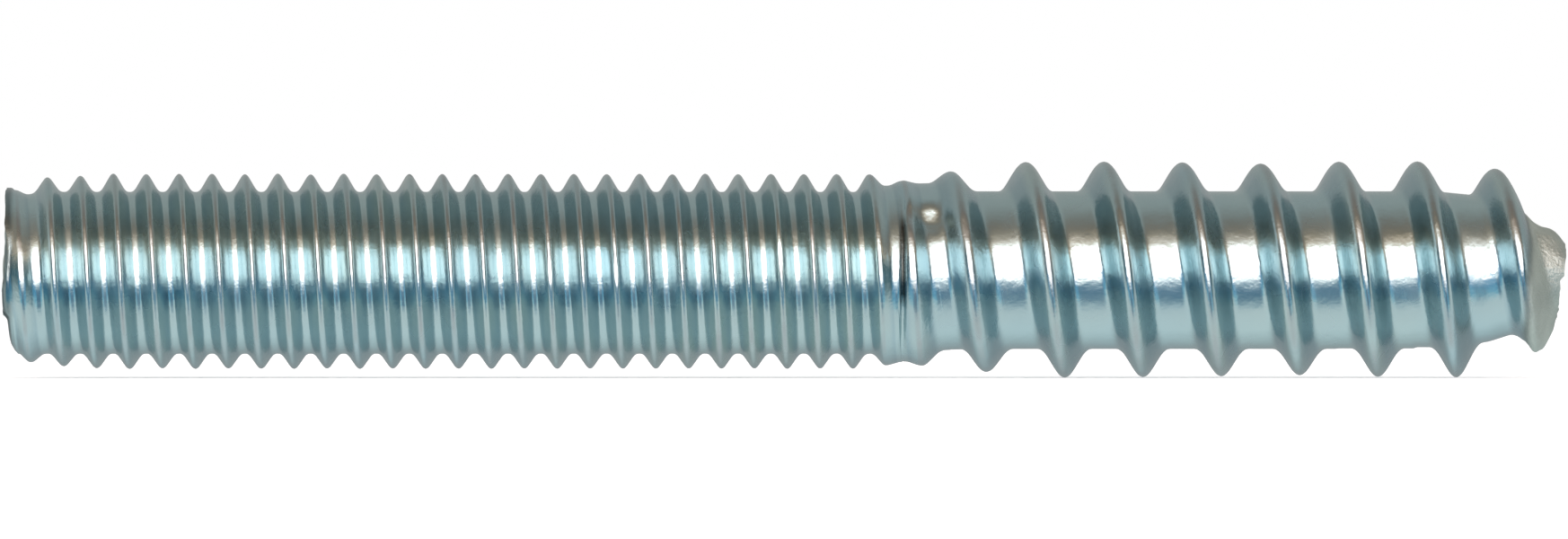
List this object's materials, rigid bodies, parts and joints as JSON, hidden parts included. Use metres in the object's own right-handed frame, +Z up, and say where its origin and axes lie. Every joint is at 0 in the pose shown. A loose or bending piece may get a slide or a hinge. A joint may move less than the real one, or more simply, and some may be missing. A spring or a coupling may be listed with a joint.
{
  "type": "hanger bolt",
  "caption": "Double-ended stud (hanger bolt): machine thread on one end, coarse wood thread with a blunt point on the other, short plain shank between; bright zinc-plated steel.",
  "frame": {"origin": "centre of the flat machine end face, on the stud's axis", "axes": "+X along the axis from the machine end to the point; +Z up, the stud lying on its side"},
  "size_m": [0.0755, 0.0102, 0.0102],
  "materials": {
    "zinc_plate": "bright zinc plate with a faint blue passivation tint, lightly scuffed on the crests"
  },
  "bodies": {
    "root": {"stud": "zinc_plate"}
  },
  "joints": []
}
